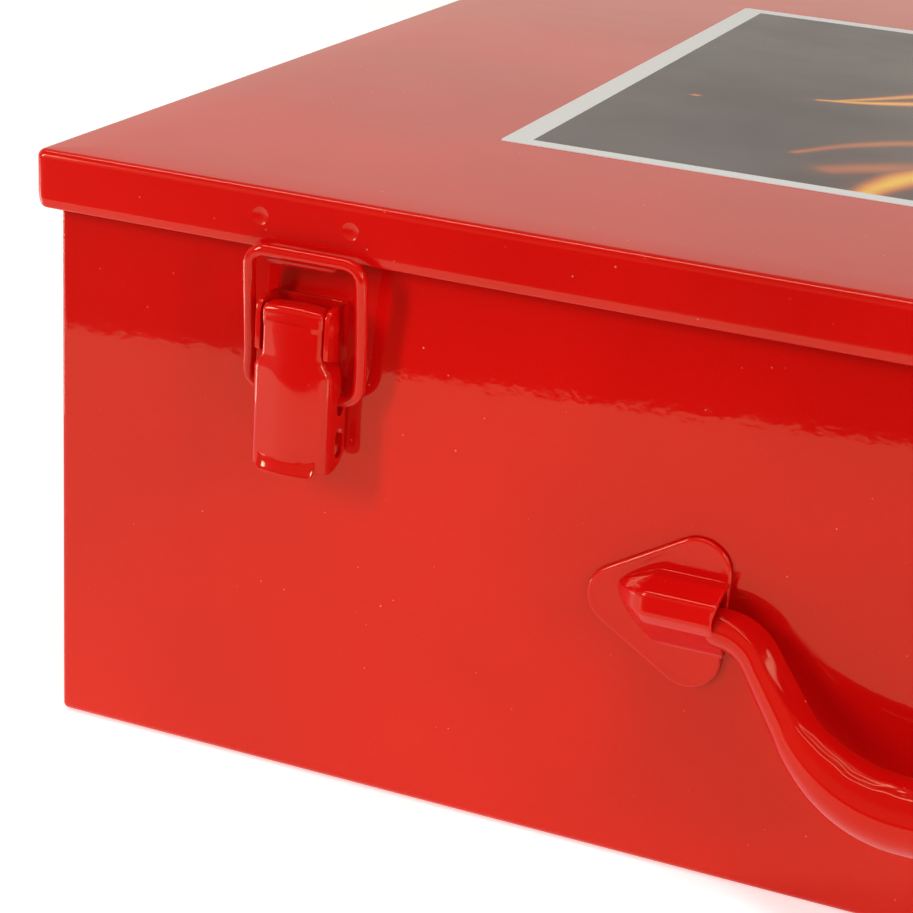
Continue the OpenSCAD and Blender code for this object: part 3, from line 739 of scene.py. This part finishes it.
    # ---- catch: J-shaped strip welded behind the lid flange
    t = 1.15
    Jp = [(2.2, 11.5), (1.05, 11.5), (1.05, -0.9), (0.9, -1.4), (0.45, -1.6), (0.1, -1.55), (-0.1, -1.3), (-0.15, -0.9), (-0.2, -0.5), (-1.2, -0.45), (-1.3, -1.2), (-1.25, -1.9), (-0.9, -2.4), (-0.3, -2.7), (0.6, -2.75), (1.4, -2.7), (2.0, -2.3), (2.2, -1.7)]
    V = []
    xs = [-9.0, -8.7, -8.3, -7.7, -6, -3, 0, 3, 6, 7.7, 8.3, 8.7, 9.0]
    for x in xs:
        u = abs(x)
        for y, z in Jp:
            # clipped corners of the folded lip
            zz = z
            lim = -2.75 + max(0.0, u - 7.55) * 1.15
            if z < lim:
                zz = lim
            V.append((cx + x + 0.9 * s, -LD + y, FLZ + zz - (0.35 if z < 0.5 else 0.0)))
    k = len(Jp)
    F = grid_faces(len(xs), k, True) + [tuple(range(k)), tuple(range((len(xs) - 1) * k, len(xs) * k))]
    make("catch_strip_" + side, V, F, M_HARD, "lid", ["latch_catch_" + side], angle=40)

latch("left", -1)
latch("right", 1)

# ------------------------------------------------------------------ carrying handle
REST = math.radians(18.9)
def build_handle():
    drop, fall, b1, ldx, gr = 32.9, math.radians(54), 12.0, 9.8, 8.7
    x1 = -MX + 1.0
    x2 = x1 + b1 * math.sin(fall); z2 = -b1 * (1 - math.cos(fall))
    x3 = x2 + ldx; z3 = z2 - ldx * math.tan(fall)
    b2 = (drop + z3) / (1 - math.cos(fall)); x4 = x3 + b2 * math.sin(fall)
    st = [(-MX - 13.5, 0.0, 0.0, 3.5), (-MX - 4.0, 0.0, 0.0, 3.5), (-MX - 2.2, 0.0, 0.0, 3.9), (-MX - 1.0, 0.0, 0.0, 4.5)]
    for k in range(0, 19):
        a = fall * k / 18
        st.append((x1 + b1 * math.sin(a), -b1 * (1 - math.cos(a)), a, 4.6 + 0.3 * math.sin(math.radians(90 * k / 18))))
    for k in range(1, 14):
        u = k / 14
        st.append((x2 + ldx * u, z2 + (z3 - z2) * u, fall, 4.9 + 0.5 * u))
    for k in range(0, 41):
        a = fall * (1 - k / 40)
        st.append((x4 - b2 * math.sin(a), -drop + b2 * (1 - math.cos(a)), a, 5.4 + (gr - 5.4) * math.sin(math.radians(90 * k / 40))))
    for u in (0.25, 0.5, 0.75):
        st.append((x4 * (1 - u), -drop, 0.0, gr))
    st.append((0.0, -drop, 0.0, gr))
    st = st + [(-x, z, -a, r) for x, z, a, r in reversed(st[:-1])]
    n = 96
    V = []
    m = len(st); cr, sr = math.cos(-REST), math.sin(-REST)
    for i, (x, z, a, r) in enumerate(st):
        for j in range(n):
            t = 2 * math.pi * j / n
            q = r
            # folded-tube seam, a narrow groove that wanders a little (t=90 deg is toward the case, 270 deg outward, 0 is up)
            ux = abs(x)
            if 24 < ux < 70:
                seam = math.radians(300 + 14 * (58 - ux) / 30 + 2.4 * math.sin(ux * 0.42) + 1.2 * math.sin(ux * 0.95 + 1.0))
                d = abs((t - seam + math.pi) % (2 * math.pi) - math.pi) * r
                fade = min(1.0, (68 - ux) / 4.0, (ux - 24) / 10.0) if ux < 68 else 0.0
                q -= 0.26 * fade * math.exp(-(d / 0.5) ** 2)
                q += 0.10 * fade * math.exp(-((d - 1.1) / 0.6) ** 2)
            # flattened facet near each end, where the tube was pinched as it was bent
            if 54 < ux < 77:
                w = math.sin(math.pi * (ux - 54) / 23) ** 0.7
                dt = (t - math.radians(328) + math.pi) % (2 * math.pi) - math.pi
                if abs(dt) < 1.2:
                    flat_r = r * (1 - 0.25 * w) / math.cos(dt) ** 0.85 + 0.10 * w * math.exp(-(dt / 0.40) ** 2) * math.sin((ux - 54) * 0.55)
                    q = min(q, flat_r)
            X = x + q * math.cos(t) * math.sin(a)
            Yv = q * math.sin(t)
            Z = z + q * math.cos(t) * math.cos(a)
            # the ends hang a little low in their loose sockets
            su = min(1.0, max(0.0, (83.0 - ux) / 6.0)); su = su * su * (3 - 2 * su)
            sd = min(1.0, max(0.0, (ux - 48.0) / 22.0)); sd = sd * sd * (3 - 2 * sd)
            Z -= 1.5 * su * sd
            V.append((X, HPY + Yv * cr - Z * sr, HPZ + Yv * sr + Z * cr))
    F = grid_faces(m, n, True) + [tuple(range(n)), tuple(range((m - 1) * n, m * n))]
    return make("handle_tube", V, F, M_HAND, "handle", ["carry_handle"], angle=50)
handle = build_handle()

# ------------------------------------------------------------------ handle brackets: a pressed plate with a half-round pocket
def bracket(side, s):
    cs = [(-102.3, 67.7, 123.4, 238.3), (-84.9, 56.9, 238.3, 360.0), (-84.9, 78.4, 0.0, 123.4)]
    def outline(i):
        o = []
        for x, z, a0, a1 in cs:
            for k in range(15):
                a = math.radians(a0 + (a1 - a0) * k / 14)
                o.append((x + (8 - i) * math.cos(a), z + (8 - i) * math.sin(a)))
        return o
    V = []; rows = [(0.55, 0.02), (0.55, -0.10), (0.12, -0.30), (0.0, -0.60)]
    rows += [(0.75 - 0.75 * math.cos(math.radians(a)), -0.60 - 0.75 * math.sin(math.radians(a))) for a in (20, 40, 60, 75, 90)]
    rows += [(1.3, -1.33), (1.8, -1.25), (2.6, -1.22), (5.0, -1.22)]
    for i, y in rows:
        V += [(s * -x, FY + y, z) if s > 0 else (x, FY + y, z) for x, z in outline(i)]
    n = 45
    F = grid_faces(len(rows), n, True) + [tuple(range(n)), tuple(range((len(rows) - 1) * n, len(rows) * n))]
    plate = (V, F)
    outer = rounded([(-0.95, 8.0), (-1.30, 7.5), (-5.3, 7.75), (-11.0, 5.5), (-11.65, 0.4), (-10.2, -2.2), (-1.9, -10.0), (-0.95, -11.4)], [0, 0.5, 0.9, 1.3, 1.6, 2.4, 1.8, 0], 8)
    inner = rounded([(-1.30, 6.3), (-1.32, 6.2), (-5.1, 6.5), (-9.9, 4.7), (-10.45, 0.7), (-9.2, -1.9), (-2.3, -8.5), (-1.30, -8.8)], [0, 0.1, 0.7, 1.0, 1.4, 2.0, 1.2, 0], 8)
    def resample(c, m):
        c = np.array(c); d = np.r_[0, np.cumsum(np.hypot(*np.diff(c, axis=0).T))]
        t = np.linspace(0, d[-1], m)
        return np.stack([np.interp(t, d, c[:, 0]), np.interp(t, d, c[:, 1])], 1)
    m = 90
    O = resample(outer, m); I = resample(inner, m)
    def mouth(zr):
        return -77.0 - 0.9 * math.exp(-((zr - 1.5) / 3.6) ** 2) + 0.5 * min(1.0, max(0.0, (-zr - 2.5) / 3.0))
    rows = []
    def ring(c, xs, back):
        r = [(x, y, z) for (y, z), x in zip(c, xs)]
        r.append((xs[-1], back, c[-1][1])); r.append((xs[0], back, c[0][1]))
        rows.append(r)
    def nose(u):
        fz = 0.05 + 0.95 * u ** 0.62; fd = max(0.0, math.sin(math.radians(90 * u)) ** 0.85)
        c = O.copy()
        c[:, 0] = -1.20 + (c[:, 0] + 1.20) * fd
        c[:, 1] = 1.6 + (c[:, 1] - 1.6) * fz
        return c
    for u in (0.0, 0.02, 0.05, 0.1, 0.17, 0.25, 0.34, 0.44, 0.55, 0.66, 0.77, 0.88, 1.0):
        c = nose(u); x = -103.0 + 9.6 * u
        ring(c, [x] * m, -0.4)
    for f in (0.12, 0.3, 0.5, 0.7, 0.85, 0.93):
        ring(O, [-93.4 + (mouth(z) - 0.5 + 93.4) * f for y, z in O], -0.4)
    C = (O + I * 1.0)
    for inset, dx in ((0.0, -0.45), (0.08, -0.2), (0.3, -0.04), (0.5, 0.0)):
        c = O + (I - O) * inset
        ring(c, [mouth(z) + dx for y, z in O], -0.4)
    for inset, dx in ((0.7, -0.04), (0.92, -0.2), (1.0, -0.45)):
        c = O + (I - O) * inset
        ring(c, [mouth(z) + dx for y, z in O], -0.8)
    for x0 in (-3.0, -8.0):
        ring(I, [mouth(z) + x0 for y, z in O], -1.25)
    ring(I, [-91.5] * m, -1.25)
    n2 = m + 2
    V2 = [(x if s < 0 else -x, FY + y, HPZ + z) for r in rows for x, y, z in r]
    F2 = grid_faces(len(rows), n2, True) + [tuple(range(n2)), tuple(range((len(rows) - 1) * n2, len(rows) * n2))]
    V, F = joinm(plate, (V2, F2))
    return make("handle_bracket_press_" + side, V, F, M_HARD, "case", ["handle_bracket_" + side], angle=50)
bracket("left", -1)
bracket("right", 1)

# ------------------------------------------------------------------ parts that keep their CAD shape, with broken edges
def keep(node, mat, w=0.25, seg=3):
    o = frame["nodes"][node]
    o.data.materials.clear(); o.data.materials.append(mat)
    bevel(o, w, seg, 28)
for sname in ("left", "right"):
    keep("hinge_body_leaf_" + sname, M_HARD, 0.2)
    keep("hinge_lid_leaf_" + sname, M_HARD, 0.2)
    keep("hinge_pin_" + sname, M_HARD, 0.2)
for nme in ("hinge_rivets_body", "hinge_rivets_lid"):
    keep(nme, M_HARD, 0.12)

# ------------------------------------------------------------------ stage: pale sheet, darker floor further out, soft light
def plain(name, col, rough=0.6):
    m, nt, bs = new_mat(name)
    bs.inputs["Base Color"].default_value = (*col, 1); bs.inputs["Roughness"].default_value = rough
    return m
def flat(name, pts, z, mat):
    me = bpy.data.meshes.new(name); me.from_pydata([(x, y, z) for x, y in pts], [], [tuple(range(len(pts)))])
    o = bpy.data.objects.new(name, me); SC.collection.objects.link(o); me.materials.append(mat)
    return o
sheet = plain("sheet_white", (0.93, 0.93, 0.93))
sheet.node_tree.nodes["Principled BSDF"].inputs["Emission Color"].default_value = (1, 1, 1, 1)
sheet.node_tree.nodes["Principled BSDF"].inputs["Emission Strength"].default_value = 0.39
flat("floor_sheet", [(-8, -0.46), (-0.42, -0.470), (-0.20, -0.505), (0.1, -0.555), (8, -0.70), (8, 12), (-8, 12)], -0.0003, sheet)
flat("floor_dark", [(-12, -10), (12, -10), (12, 12), (-12, 12)], -0.004, plain("floor_grey", (0.042, 0.038, 0.036)))
def strip(name, strength):
    m = plain(name, (0.93, 0.93, 0.93))
    b = m.node_tree.nodes["Principled BSDF"]
    b.inputs["Emission Color"].default_value = (1, 1, 1, 1)
    b.inputs["Emission Strength"].default_value = strength
    return m
flat("floor_strip_left", [(-0.46, -0.265), (-0.76, -0.335), (-0.78, -0.195), (-0.465, -0.225)], 0.0004, strip("strip_left", 9.0))
flat("floor_strip_right", [(0.10, -0.300), (0.30, -0.390), (0.32, -0.310), (0.11, -0.255)], 0.0004, strip("strip_right", 3.5))

w = bpy.data.worlds.new("studio"); SC.world = w; w.use_nodes = True
nt = w.node_tree; bg = nt.nodes["Background"]
tc = N(nt, "ShaderNodeTexCoord"); sp = N(nt, "ShaderNodeSeparateXYZ")
nt.links.new(tc.outputs["Generated"], sp.inputs[0])
cz = ramp(nt, sp.outputs["Z"], [(0.0, (1, 0.97, 0.84)), (0.45, (1, 0.97, 0.84)), (0.66, (0.42, 0.41, 0.38)), (1.0, (0.40, 0.40, 0.38))])
fy_ = maprange(nt, sp.outputs["Y"], -0.4, 0.4, 0.42, 0.72)
nt.links.new(cz, bg.inputs["Color"])
nt.links.new(fy_, bg.inputs["Strength"])

def area(name, loc, target, size, power, col=(1, 1, 1)):
    l = bpy.data.lights.new(name, "AREA"); l.shape = "RECTANGLE"; l.size, l.size_y = size; l.energy = power; l.color = col
    o = bpy.data.objects.new(name, l); SC.collection.objects.link(o)
    o.location = loc
    d = Vector(target) - Vector(loc); o.rotation_euler = d.to_track_quat("-Z", "Y").to_euler()
    return o
area("left_soft", (-1.7, -1.75, 1.0), (-0.05, -0.1, 0.05), (0.28, 1.1), 29.5)
area("right_soft", (2.0, -1.1, 1.0), (0, -0.1, 0.05), (0.28, 1.1), 19)
area("top", (-0.3, -0.6, 2.3), (0, 0, 0), (2.8, 0.3), 21.5)

# ------------------------------------------------------------------ camera
cam = bpy.data.cameras.new("camera"); co = bpy.data.objects.new("camera", cam); SC.collection.objects.link(co)
R = [0.9338659, 0.3495342, 0.0756328]; D = [0.1982450, -0.3299511, -0.9229470]; Fw = [-0.2976464, 0.8769026, -0.3774235]
L = [0.015008, -0.634159, 0.275403]
co.matrix_world = Matrix([[R[i], -D[i], -Fw[i], L[i]] for i in range(3)] + [[0, 0, 0, 1]])
cam.sensor_width = 36; cam.lens = 84.60; cam.shift_x = -0.05408; cam.shift_y = 0.03256
cam.clip_start = 0.02; cam.clip_end = 60
SC.camera = co
SC.view_settings.view_transform = "Standard"
